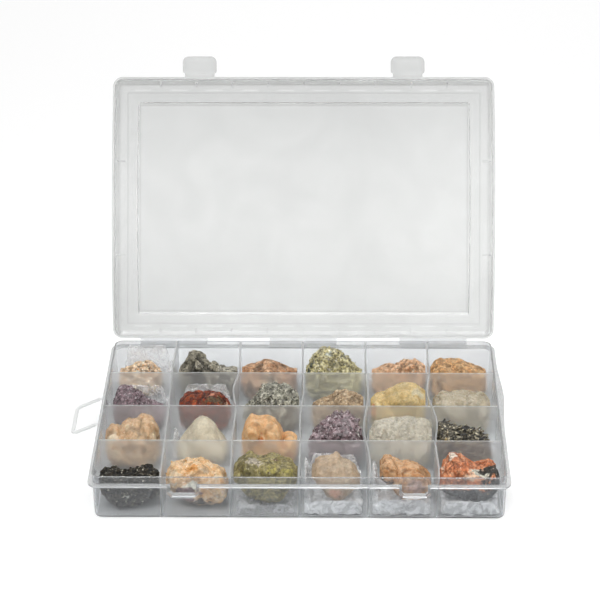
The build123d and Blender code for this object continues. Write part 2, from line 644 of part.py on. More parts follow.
def bag(row, column):
    """Folded clear bag that a specimen sits on, with the film that stands up beside it."""
    levels = ((BAG_EDGE, 0), (0, BAG_THICK / 2), (BAG_EDGE, BAG_THICK))
    faces = [
        Pos(column_middle(column), row_middle(row), FLOOR + height)
        * outline(BAG_HALF_X - inset, BAG_HALF_Y - inset, 2 * BAG_EDGE)
        for inset, height in levels
    ]
    film = loft(faces, ruled=True)
    for direction, height in BAGS[row, column].items():
        film += standing_film(row, column, direction, height)
    return film


# ---------------------------------------------------------------- the pieces
def build():
    outside, cavity = tray_block(), tray_cavity()
    column_walls = [column_divider(index, cavity) for index in range(COLUMNS - 1)]
    pieces = {"tray_shell": tray_shell(outside, cavity)}
    for index, wall in enumerate(column_walls):
        pieces[f"column_divider_{index + 1}"] = wall
    for index, name in enumerate(("rear", "middle", "front")):
        pieces[f"row_divider_{name}"] = row_divider(index, cavity, column_walls)
    pieces["lid_shell"] = lid_shell()
    for name, x in (("left", -1), ("right", 1)):
        pieces[f"catch_{name}"] = catch(x * CATCH_X, outside)
        pieces[f"latch_{name}"] = latch(x * LATCH_X)
        pieces[f"latch_film_{name}"] = latch_film(x * LATCH_X)
    for name, x in FILM_X.items():
        pieces[f"hinge_film_{name}"] = hinge_film(x)
    pieces["carry_handle"] = carry_handle()
    pieces["handle_film_rear"] = handle_film(1)
    pieces["handle_film_front"] = handle_film(-1)
    for row, column in SPECIMENS:
        pieces[f"specimen_{row}_{column}"] = specimen(row, column)
    for row, column in BAGS:
        pieces[f"bag_{row}_{column}"] = bag(row, column)
    return pieces


for node, shape in build().items():
    export_step(shape, f"parts/{node}.step")
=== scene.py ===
from math import cos, pi, radians, sin

import bmesh
import bpy
import numpy as np
from mathutils import Matrix, Vector, noise


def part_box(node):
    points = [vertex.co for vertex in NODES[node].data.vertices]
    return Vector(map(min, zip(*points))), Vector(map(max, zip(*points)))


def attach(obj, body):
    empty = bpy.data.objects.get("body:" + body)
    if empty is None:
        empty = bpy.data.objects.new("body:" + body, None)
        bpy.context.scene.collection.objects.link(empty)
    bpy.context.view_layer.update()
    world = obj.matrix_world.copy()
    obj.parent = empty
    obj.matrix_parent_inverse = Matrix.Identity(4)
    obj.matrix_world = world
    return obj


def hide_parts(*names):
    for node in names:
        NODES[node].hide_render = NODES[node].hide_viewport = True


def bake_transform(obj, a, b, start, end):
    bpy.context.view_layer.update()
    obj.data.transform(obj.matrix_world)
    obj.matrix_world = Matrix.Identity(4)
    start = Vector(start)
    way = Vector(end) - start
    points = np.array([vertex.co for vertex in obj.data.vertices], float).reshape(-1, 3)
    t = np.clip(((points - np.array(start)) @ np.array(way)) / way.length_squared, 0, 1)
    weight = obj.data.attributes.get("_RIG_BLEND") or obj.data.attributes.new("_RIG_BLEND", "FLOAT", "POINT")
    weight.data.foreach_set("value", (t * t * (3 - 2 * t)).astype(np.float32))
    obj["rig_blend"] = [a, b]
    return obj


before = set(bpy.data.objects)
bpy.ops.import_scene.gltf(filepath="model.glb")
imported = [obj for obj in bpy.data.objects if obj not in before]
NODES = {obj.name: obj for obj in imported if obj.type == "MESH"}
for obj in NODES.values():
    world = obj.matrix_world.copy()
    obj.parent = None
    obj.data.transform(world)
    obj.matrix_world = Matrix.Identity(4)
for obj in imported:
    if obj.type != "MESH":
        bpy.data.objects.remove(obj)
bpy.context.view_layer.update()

MM = 0.001

# ---------------------------------------------------------------- camera and stage
CAMERA_AT = (0.0237, -1.2996, 0.8099)
CAMERA_TILT = radians(28.157)  # below level
CAMERA_YAW, CAMERA_ROLL = 0.0184, -0.0066
CAMERA_LENS = 133.0
CAMERA_REACH = 20
FLOOR_RADIUS = 6.0
FLOOR_DROP = 0.0003  # the floor lies this far under the box, so that the two faces don't fight
WORLD_LEVEL = 0.45  # of the white world as a light; a ray that isn't diffuse meets it at 1
LAMP_AIM = (0, 0, 0.05)
LAMPS = {  # place, size and watts
    "key": ((-0.5, -0.7, 1.5), 0.9, 14),
    "fill": ((1.1, -0.5, 1.1), 1.0, 7),
    "rear": ((0.1, 1.2, 1.5), 1.2, 8),
}


def scene_camera():
    """Camera that was fitted to the edges measured in the photograph."""
    right = Vector((cos(CAMERA_YAW), sin(CAMERA_YAW), 0))
    level = Vector((-sin(CAMERA_YAW), cos(CAMERA_YAW), 0))
    forward = level * cos(CAMERA_TILT) - Vector((0, 0, sin(CAMERA_TILT)))
    up = level * sin(CAMERA_TILT) + Vector((0, 0, cos(CAMERA_TILT)))
    image_right = right * cos(CAMERA_ROLL) + up * sin(CAMERA_ROLL)
    image_up = up * cos(CAMERA_ROLL) - right * sin(CAMERA_ROLL)
    turn = Matrix((image_right, image_up, -forward)).transposed().to_4x4()
    data = bpy.data.cameras.new("camera")
    data.lens = CAMERA_LENS
    data.clip_end = CAMERA_REACH
    camera = bpy.data.objects.new("camera", data)
    camera.matrix_world = Matrix.Translation(CAMERA_AT) @ turn
    bpy.context.scene.collection.objects.link(camera)
    bpy.context.scene.camera = camera


def lamp(name, place, size, watts):
    data = bpy.data.lights.new(name, "AREA")
    data.shape, data.size, data.energy = "DISK", size, watts
    light = bpy.data.objects.new(name, data)
    light.location = place
    light.rotation_euler = (Vector(LAMP_AIM) - Vector(place)).to_track_quat("-Z", "Y").to_euler()
    bpy.context.scene.collection.objects.link(light)


# ---------------------------------------------------------------- materials
def srgb(*levels):
    """A colour as 0 to 255 levels of a picture, turned into the linear value that a node takes."""
    shares = [level / 255 for level in levels]
    return tuple(s / 12.92 if s < 0.04045 else ((s + 0.055) / 1.055) ** 2.4 for s in shares) + (1.0,)


class Graph:
    """A material under construction, with one short call for each kind of node."""

    def __init__(self, name):
        self.material = bpy.data.materials.new(name)
        self.material.use_nodes = True
        self.tree = self.material.node_tree
        self.tree.nodes.clear()
        self.coordinates = self.tree.nodes.new("ShaderNodeTexCoord")

    def node(self, kind, inputs=None, **settings):
        node = self.tree.nodes.new(kind)
        for key, value in settings.items():
            setattr(node, key, value)
        for key, value in (inputs or {}).items():
            if isinstance(value, bpy.types.NodeSocket):
                self.tree.links.new(value, node.inputs[key])
            else:
                node.inputs[key].default_value = value
        return node

    @property
    def place(self):
        return self.coordinates.outputs["Object"]

    @property
    def share(self):
        """Place within the piece's own box, each way from 0 to 1."""
        return self.coordinates.outputs["Generated"]

    def math(self, operation, a, b=0.0):
        return self.node("ShaderNodeMath", {0: a, 1: b}, operation=operation).outputs[0]

    def axis(self, vector, letter):
        return self.node("ShaderNodeSeparateXYZ", {0: vector}).outputs[letter]

    def triple(self, value):
        return self.node("ShaderNodeCombineXYZ", {0: value, 1: value, 2: value}).outputs[0]

    def shifted(self, vector, by):
        return self.node("ShaderNodeVectorMath", {0: vector, 1: by}, operation="ADD").outputs[0]

    def stretched(self, vector, by):
        return self.node("ShaderNodeVectorMath", {0: vector, 1: by}, operation="MULTIPLY").outputs[0]

    def noise(self, size, detail=3.0, rough=0.6, warp=0.0, vector=None):
        """Noise from 0 to 1 with features of about this size in metres."""
        inputs = {
            "Vector": self.place if vector is None else vector,
            "Scale": 1 / size,
            "Detail": detail,
            "Roughness": rough,
            "Distortion": warp,
        }
        return self.node("ShaderNodeTexNoise", inputs).outputs[0]

    def cell_colour(self, size):
        """One random colour for each cell of about this size in metres."""
        inputs = {"Vector": self.place, "Scale": 1 / size}
        return self.node("ShaderNodeTexVoronoi", inputs, feature="F1").outputs["Color"]

    def span(self, value, low, high, to_low=0.0, to_high=1.0):
        """Value from low to high becomes to_low to to_high, and stays there beyond."""
        inputs = {0: value, 1: low, 2: high, 3: to_low, 4: to_high}
        return self.node("ShaderNodeMapRange", inputs, interpolation_type="SMOOTHSTEP").outputs[0]

    def mix(self, share, a, b):
        inputs = {0: share, 6: a, 7: b}
        return self.node("ShaderNodeMix", inputs, data_type="RGBA").outputs[2]

    def ramp(self, value, *stops):
        node = self.node("ShaderNodeValToRGB", {0: value})
        elements = node.color_ramp.elements
        while len(elements) < len(stops):
            elements.new(0.5)
        for element, (place, colour) in zip(elements, stops):
            element.position, element.color = place, colour
        return node.outputs[0]

    def bump(self, height, depth, normal=None):
        """Bump of this depth in metres for a height from 0 to 1."""
        inputs = {"Height": height, "Distance": depth, "Strength": 1.0}
        if normal is not None:
            inputs["Normal"] = normal
        return self.node("ShaderNodeBump", inputs).outputs[0]

    def centred(self, colour):
        """A colour's three shares from 0 to 1 as numbers from -0.5 to 0.5."""
        return self.shifted(colour, (-0.5, -0.5, -0.5))

    def glitter(self, cell_colour, tilt):
        """Surface direction tilted at random from one crystal face to the next."""
        lean = self.stretched(self.centred(cell_colour), (tilt, tilt, tilt))
        normal = self.shifted(self.node("ShaderNodeNewGeometry").outputs["Normal"], lean)
        return self.node("ShaderNodeVectorMath", {0: normal}, operation="NORMALIZE").outputs[0]

    def principled(self, **inputs):
        named = {key.replace("_", " "): value for key, value in inputs.items()}
        return self.node("ShaderNodeBsdfPrincipled", named).outputs[0]

    def blend(self, share, a, b):
        return self.node("ShaderNodeMixShader", {0: share, 1: a, 2: b}).outputs[0]

    def clear(self, level):
        return self.node("ShaderNodeBsdfTransparent", {"Color": (level, level, level, 1)}).outputs[0]

    def finish(self, shader):
        self.node("ShaderNodeOutputMaterial", {"Surface": shader})
        return self.material


THIN_WALL_IOR = 1.3  # low, so that a thin wall bends little of what lies behind it
WAVE_SIZE, GRAIN_SIZE, CLOUD_SIZE = 0.035, 0.0006, 0.05  # metres, as all lengths in materials are
WAVE_DEPTH, GRAIN_DEPTH = 0.00012, 0.000006


def polypropylene(name, tint, pale_tint, clearness, blur, lamp_share, edge, wave_depth=WAVE_DEPTH, shade=None,
                  slanted=1.0):
    """Hazy moulded plastic, in tint with paler clouds. clearness is the share that isn't milky where it is
    seen square on, blur how it smears what is behind it and lamp_share what it lets through of a lamp.
    Upward faces are the walls' thin top edges, in the colour edge, which paints shade on them where it is
    darker than the tint. shade gives a level for the tint that carries painted light and shade, and slanted
    is its level where a wall is seen at a slant, a painted light that makes such walls paler."""
    g = Graph(name)
    wave = g.noise(WAVE_SIZE, detail=1.0)
    grain = g.noise(GRAIN_SIZE, detail=2.0)
    normal = g.bump(grain, GRAIN_DEPTH, g.bump(wave, wave_depth))
    cloud = g.noise(CLOUD_SIZE, detail=4.0, warp=1.5)
    # the upward faces, which are painted in the colour edge as shade
    top = g.span(g.axis(g.node("ShaderNodeNewGeometry").outputs["Normal"], "Z"), 0.75, 0.95)
    milk = g.mix(g.span(cloud, 0.35, 0.7), tint, pale_tint)
    slant = g.node("ShaderNodeLayerWeight", {"Blend": 0.5}).outputs["Facing"]
    # painted light: walls seen at a slant are painted paler, by the level slanted
    level = g.span(slant, 0.45, 0.9, 1.0, slanted)
    if shade:
        level = g.math("MULTIPLY", level, shade(g))
    milk = g.stretched(milk, g.triple(level))
    clarity = g.span(slant, 0.6, 0.97, clearness, clearness * 0.95)
    clarity = g.math("MULTIPLY", clarity, g.span(top, 0, 1, 1, 0.8))
    body = g.principled(
        Base_Color=g.mix(top, milk, edge),
        Roughness=blur,
        IOR=THIN_WALL_IOR,
        Transmission_Weight=clarity,
        Normal=normal,
    )
    to_lamps = g.math("MULTIPLY", g.node("ShaderNodeLightPath").outputs["Is Shadow Ray"], lamp_share)
    return g.finish(g.blend(to_lamps, body, g.clear(1.0)))


HINGE_AT = (0.0, 0.09725, 0.0274)
LID_TILT = radians(62.3)  # of the open lid, above level
LID_HALF_X = 0.1385
LID_START, LID_END = 0.00295, 0.19155  # distances of the lid's two long edges from the hinge
RIDGES = (0.0042, 0.0104, 0.0194)  # how far in from the lid's edge its moulded ridges run
DASHES_INSET, DASH_HALF_PITCH = 0.0085, 0.013  # of the short painted glints along the lid's two long edges
SLOT_UP = 0.76  # where the painted highlight at a latch's slot lies, as a share of its height


def lid_painted_light_and_shade(g):
    """Painted light and shade, as the level of the lid's tint: painted shade as fine dark lines along its
    ridges and towards its two long sides, painted light a little to the right, and short painted glints along
    its two long edges."""
    x = g.axis(g.place, "X")
    from_hinge = g.shifted(g.place, [-number for number in HINGE_AT])
    upwards = (0, cos(LID_TILT), sin(LID_TILT))
    along = g.node("ShaderNodeVectorMath", {0: from_hinge, 1: upwards}, operation="DOT_PRODUCT")
    along = along.outputs["Value"]
    from_side = g.math("SUBTRACT", LID_HALF_X, g.math("ABSOLUTE", x))
    past_start, before_end = g.math("SUBTRACT", along, LID_START), g.math("SUBTRACT", LID_END, along)
    from_end = g.math("MINIMUM", past_start, before_end)
    inset = g.math("MINIMUM", from_side, from_end)
    # painted shade: darker towards the lid's long edges, at the hinge and at its free end
    level = g.math("MULTIPLY", g.span(along, 0.0, 0.09, 0.84, 1.0), g.span(along, 0.12, 0.18, 1.0, 0.92))
    # painted light: a little paler to the right
    level = g.math("MULTIPLY", level, g.span(x, 0.03, 0.12, 1.0, 1.05))
    # painted shade: a fine dark line along each ridge
    for ridge in RIDGES:
        away = g.math("ABSOLUTE", g.math("SUBTRACT", inset, ridge))
        level = g.math("MULTIPLY", level, g.span(away, 0.0002, 0.0007, 0.90, 1.0))
    # painted glints: short highlights along the lid's two long edges
    dash = g.math("PINGPONG", x, DASH_HALF_PITCH)
    on_ridge = g.math("ABSOLUTE", g.math("SUBTRACT", from_end, DASHES_INSET))
    glint = g.math("MULTIPLY", g.span(dash, 0.006, 0.008), g.span(on_ridge, 0.0003, 0.0008, 1.0, 0.0))
    return g.math("ADD", level, g.math("MULTIPLY", glint, 0.1))


def latch_painted_light_and_shade(g):
    """Painted light and shade, as the level of a latch's tint: a painted darker rim, a painted highlight at
    the slot near its free end and a painted pale band at its film.
    """
    x, z = g.axis(g.share, "X"), g.axis(g.share, "Z")
    from_side = g.math("MINIMUM", x, g.math("SUBTRACT", 1.0, x))
    inset = g.math("MINIMUM", from_side, g.math("SUBTRACT", 1.0, z))
    # painted shade on the rim, and painted light in the band at the film
    level = g.math("MULTIPLY", g.span(inset, 0.07, 0.15, 0.96, 1.0), g.span(z, 0.08, 0.16, 1.05, 1.0))
    # painted highlight at the slot
    from_slot = g.math("ABSOLUTE", g.math("SUBTRACT", z, SLOT_UP))
    slot = g.math("MULTIPLY", g.span(from_slot, 0.04, 0.07, 1.0, 0.0), g.span(from_side, 0.18, 0.22))
    return g.math("ADD", level, g.math("MULTIPLY", slot, 0.12))


def white_floor():
    """Pale floor that a camera ray sees a little brighter, the more so towards the rear, so it comes out
    white and keeps the shadow."""
    g = Graph("floor")
    grain = g.noise(0.004, detail=2.0)
    colour = g.mix(grain, (0.80, 0.80, 0.80, 1), (0.83, 0.83, 0.83, 1))
    body = g.principled(Base_Color=colour, Roughness=0.9, Specular_IOR_Level=0.1)
    path = g.node("ShaderNodeLightPath").outputs
    rearward = g.span(g.axis(g.place, "Y"), 0.3, 1.6, 0.23, 0.34)
    strength = g.math("MULTIPLY", path["Is Camera Ray"], rearward)
    glow = g.node("ShaderNodeEmission", {"Strength": strength}).outputs[0]
    return g.finish(g.node("ShaderNodeAddShader", {0: body, 1: glow}).outputs[0])


def world_light():
    """White world, whose light on diffuse rays is held down so that stones and plastic keep their shading."""
    world = bpy.data.worlds.new("world")
    bpy.context.scene.world = world
    world.use_nodes = True
    tree = world.node_tree
    tree.nodes.clear()
    path = tree.nodes.new("ShaderNodeLightPath").outputs
    strength = tree.nodes.new("ShaderNodeMapRange")
    tree.links.new(path["Is Diffuse Ray"], strength.inputs[0])
    strength.inputs[3].default_value = 1.0
    strength.inputs[4].default_value = WORLD_LEVEL
    background = tree.nodes.new("ShaderNodeBackground")
    tree.links.new(strength.outputs[0], background.inputs["Strength"])
    tree.links.new(background.outputs[0], tree.nodes.new("ShaderNodeOutputWorld").inputs[0])


def stage():
    """White floor, three soft lamps and the world."""
    mesh = bmesh.new()
    bmesh.ops.create_circle(mesh, cap_ends=True, segments=96, radius=FLOOR_RADIUS)
    data = bpy.data.meshes.new("floor")
    mesh.to_mesh(data)
    mesh.free()
    floor = bpy.data.objects.new("floor", data)
    floor.location.z = -FLOOR_DROP
    bpy.context.scene.collection.objects.link(floor)
    data.materials.append(white_floor())
    for name, (place, size, watts) in LAMPS.items():
        lamp(name, place, size, watts)
    world_light()


# ---------------------------------------------------------------- stones: shape
def even_copy(node, name, voxel, rounding):
    """Closed, evenly meshed copy of a node, with its facets rounded off."""
    mesh = NODES[node].data.copy()
    piece = bpy.data.objects.new(name, mesh)
    bpy.context.scene.collection.objects.link(piece)
    weld = piece.modifiers.new("weld", "WELD")
    weld.merge_threshold = 1e-6
    remesh = piece.modifiers.new("remesh", "REMESH")
    remesh.mode, remesh.voxel_size = "VOXEL", voxel * MM
    if rounding:
        smooth = piece.modifiers.new("smooth", "SMOOTH")
        smooth.factor, smooth.iterations = 0.5, rounding
    graph = bpy.context.evaluated_depsgraph_get()
    final = bpy.data.meshes.new_from_object(piece.evaluated_get(graph))
    piece.modifiers.clear()
    piece.data = final
    bpy.data.meshes.remove(mesh)
    return piece


NOISE_SEED = 11
HASH_STRETCH = 7.31  # takes neighbouring cells to places in the noise that have little in common
FACET_TILT, FACET_STEP = 2.2, 0.6


def hashed(point, seed):
    """Three numbers from -1 to 1 that depend only on a cell's centre, once the noise is seeded."""
    return noise.noise_vector(Vector(point) * HASH_STRETCH + Vector((seed, -seed, 2 * seed)))


def facets(p, size, seed):
    """Height of a jumble of tilted flat planes."""
    centre = noise.voronoi(p / size)[1][0]
    tilt = hashed(centre, seed)
    return (p / size - centre).dot(tilt) * FACET_TILT + tilt.x * FACET_STEP


def lobes(p, size, seed):
    """Height of rounded buds that meet in creases."""
    nearest = noise.voronoi(p / size)[0][0]
    return (1 - min(nearest, 1.1) ** 2) - 0.5


def spikes(p, size, seed):
    """Height of small pointed crystals."""
    distances, centres = noise.voronoi(p / size)
    return (0.55 - distances[0]) * (1.1 + hashed(centres[0], seed).y)


def grit(p, size, seed):
    """Height of an even roughness."""
    return noise.fractal(p / size, 0.8, 2.1, 4)


def folds(p, size, seed):
    """Height of sharp ridges between smooth hollows."""
    return 0.5 - 2 * abs(noise.fractal(p / size, 1.0, 2.0, 3))


def layers(p, size, seed):
    """Height of thin beds lying nearly level."""
    level = p.z + 0.25 * p.x + 2 * noise.noise(p / 14)
    return abs((level / size) % 1 - 0.5) * 2 - 0.5


KINDS = {"facets": facets, "lobes": lobes, "spikes": spikes, "grit": grit, "folds": folds, "layers": layers}
SEED_SHIFT = (13.7, -9.1, 5.3)  # mm between the noise of one stone and of the next
FLAT_SHARE = 3  # percent of the skin that counts as deepest, and as highest


def carve(piece, node, seed, relief, growth, room):
    """Push a piece's skin in and out by a sum of layers, each (kind, size in mm, height in mm), then out by
    growth. It stays in its node's box, but may rise room mm above it, slowing as it nears that height. The
    attribute "relief" keeps the push, from 0 in the deepest hollow to 1 on the highest ridge."""
    mesh = piece.data
    count = len(mesh.vertices)
    place = np.empty(count * 3)
    mesh.vertices.foreach_get("co", place)
    place = place.reshape(-1, 3)
    normals = np.array([v.normal[:] for v in mesh.vertices])
    offset = Vector([seed * shift for shift in SEED_SHIFT])
    points = [Vector(row) / MM + offset for row in place]
    push = np.zeros(count)
    for kind, size, height in relief:
        field = KINDS[kind]
        push += height * np.array([field(p, size, seed) for p in points])
    place += normals * ((push + growth) * MM)[:, None]
    low, high = [np.array(corner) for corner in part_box(node)]
    if room:
        start, reach = high[2] - room * MM, 2 * room * MM
        above = np.clip(place[:, 2] - start, 0, None)
        place[:, 2] = np.minimum(place[:, 2], start) + reach * (1 - np.exp(-above / reach))
        high[2] += room * MM
    mesh.vertices.foreach_set("co", np.clip(place, low, high).ravel())
    deepest, highest = np.percentile(push, (FLAT_SHARE, 100 - FLAT_SHARE))
    level = np.clip((push - deepest) / (highest - deepest), 0, 1)
    mesh.attributes.new("relief", "FLOAT", "POINT").data.foreach_set("value", level.astype(np.float32))
    mesh.update()


ROOT, TAPER = 0.3, 0.92  # share of a crystal's length inside the stone, and its width below the point
BARE_FOOT = 0.06  # share of a stone's height without crystals
LOW_SKIN = 0.4  # share of its height where crystals turn upwards, clear of the tray's floor
STUB = 0.3  # share of its length that a crystal keeps where it would pass the stone's box


def crystal(mesh, at, axis, width, length, sides, point_share, level):
    """One prism with a pointed end, standing on the skin at this place. level is its "relief"."""
    layer = mesh.verts.layers.float["relief"]
    turn = axis.to_track_quat("Z", "Y").to_matrix()
    rings = []
    for height, share in ((-ROOT * length, 1.0), (length * (1 - point_share), TAPER)):
        ring = []
        for k in range(sides):
            angle = 2 * pi * k / sides
            local = Vector((cos(angle) * width / 2 * share, sin(angle) * width / 2 * share, height))
            ring.append(mesh.verts.new(at + turn @ local))
        rings.append(ring)
    tip = mesh.verts.new(at + turn @ Vector((0, 0, length)))
    made = []
    for k in range(sides):
        after = (k + 1) % sides
        made.append(mesh.faces.new((rings[0][k], rings[0][after], rings[1][after], rings[1][k])))
        made.append(mesh.faces.new((rings[1][k], rings[1][after], tip)))
    for vertex in rings[0] + rings[1] + [tip]:
        vertex[layer] = level
    for face in made:
        face.smooth = False


def scatter(piece, seed, count, width, length, sides=6, point_share=0.45, lean=0.5, comb=(0, 0, 0)):
    """Crystals over a stone. width and length are ranges in mm, and comb is a direction that the crystals
    turn towards."""
    source = piece.data
    low, high = box_of(piece)
    random = np.random.default_rng(seed)
    centres = np.array([p.center[:] for p in source.polygons])
    areas = np.array([p.area for p in source.polygons])
    chosen = random.choice(len(centres), size=count, p=areas / areas.sum())
    mesh = bmesh.new()
    mesh.from_mesh(source)
    for number in chosen:
        at = Vector(centres[number])
        up = (at.z - low[2]) / (high[2] - low[2])
        wobble = Vector(random.normal(0, lean, 3))
        size = random.uniform(*width) * MM
        reach = random.uniform(*length) * MM
        if up < BARE_FOOT:
            continue
        axis = source.polygons[int(number)].normal + wobble + Vector(comb)
        if up < LOW_SKIN:
            axis.z = abs(axis.z)
        axis.normalize()
        tip = at + axis * reach
        if any(tip[k] < low[k] or tip[k] > high[k] for k in (0, 1)):
            reach *= STUB
        crystal(mesh, at, axis, size, reach, sides, point_share, random.uniform(0.0, 1.0))
    mesh.to_mesh(source)
    mesh.free()


def box_of(piece):
    """Lowest and highest corner of a piece's own points."""
    corners = np.array([v.co[:] for v in piece.data.vertices])
    return corners.min(axis=0), corners.max(axis=0)


# ---------------------------------------------------------------- stones: colour
GROUND_FROM, GROUND_SPAN = 0.34, 0.32  # levels of noise over which a ground's colours are spread
PATCH_RAGGED = 0.005  # size of the bays in a patch's edge
PATCH_DRIFT = (0.4, 0.4, 0.4)  # how far the edge wanders, in shares of the stone's box
SPECK_EDGE, SPECK_REACH = 0.68, 0.3  # where specks begin in the noise, and how far a share of 1 lowers that
SPECK_FADE = 0.05
FINE_GRAIN, FINE_BUMP = 0.0009, 0.0004


def mineral(name, ground, grain=0.004, patches=(), specks=(), rough=0.55, wax=0.0, gloss=0.45, grit=1.3,
            tilt=0.5, contrast=0.35, painted_hollow_shade=0.45):
    """The look of one stone. ground is a list of colours from low to high noise. A patch is (colour, centre,
    radius, fade) in shares of the stone's box, and specks are (colour, size in mm, share of the skin). grit
    is the size in mm of the crystal grains, tilt how far they lean and contrast how much they differ in
    shade. crack is painted shade: how much darker the skin's hollows are painted than its ridges, which
    are painted a little lighter."""
    g = Graph(name)
    coarse = g.noise(grain, detail=5.0, rough=0.65, warp=0.6)
    step = GROUND_SPAN / (len(ground) - 1)
    colour = g.ramp(coarse, *[(GROUND_FROM + step * k, shade) for k, shade in enumerate(ground)])
    wander = {"Vector": g.place, "Scale": 1 / PATCH_RAGGED, "Detail": 4.0}
    drift = g.centred(g.node("ShaderNodeTexNoise", wander).outputs[1])
    ragged = g.shifted(g.share, g.stretched(drift, PATCH_DRIFT))
    for shade, centre, radius, fade in patches:
        away = g.node("ShaderNodeVectorMath", {0: ragged, 1: centre}, operation="DISTANCE").outputs["Value"]
        colour = g.mix(g.span(away, radius, radius - fade, 0.0, 1.0), colour, shade)
    for shade, size, share in specks:
        dots = g.noise(size * MM, detail=3.0, rough=0.7, vector=g.shifted(g.place, (size, 0.3, 0.1)))
        edge = SPECK_EDGE - SPECK_REACH * share
        colour = g.mix(g.span(dots, edge, edge + SPECK_FADE), colour, shade)
    cell = g.cell_colour(grit * MM)
    grain_level = g.node("ShaderNodeSeparateColor", {0: cell}).outputs[0]
    level = g.span(grain_level, 0.0, 1.0, 1 - contrast, 1 + contrast)
    height = g.node("ShaderNodeAttribute", attribute_name="relief").outputs["Fac"]
    # painted shade in the hollows and painted light on the ridges, from the relief
    level = g.math("MULTIPLY", level, g.span(height, 0.05, 0.65, 1 - painted_hollow_shade, 1.1))
    fine = g.noise(FINE_GRAIN, detail=4.0, rough=0.7)
    shader = g.principled(
        Base_Color=g.stretched(colour, g.triple(level)),
        Roughness=g.span(fine, 0.3, 0.7, rough - 0.15, rough + 0.1),
        Normal=g.bump(fine, FINE_BUMP, g.glitter(cell, tilt)),
        Specular_IOR_Level=gloss,
        Subsurface_Weight=wax,
        Subsurface_Radius=(0.006, 0.004, 0.0025),
        Subsurface_Scale=0.6,
    )
    return g.finish(shader)


WHITE = srgb(224, 218, 204)
BLACK = srgb(36, 33, 27)
DARK_GREEN = srgb(58, 66, 50)

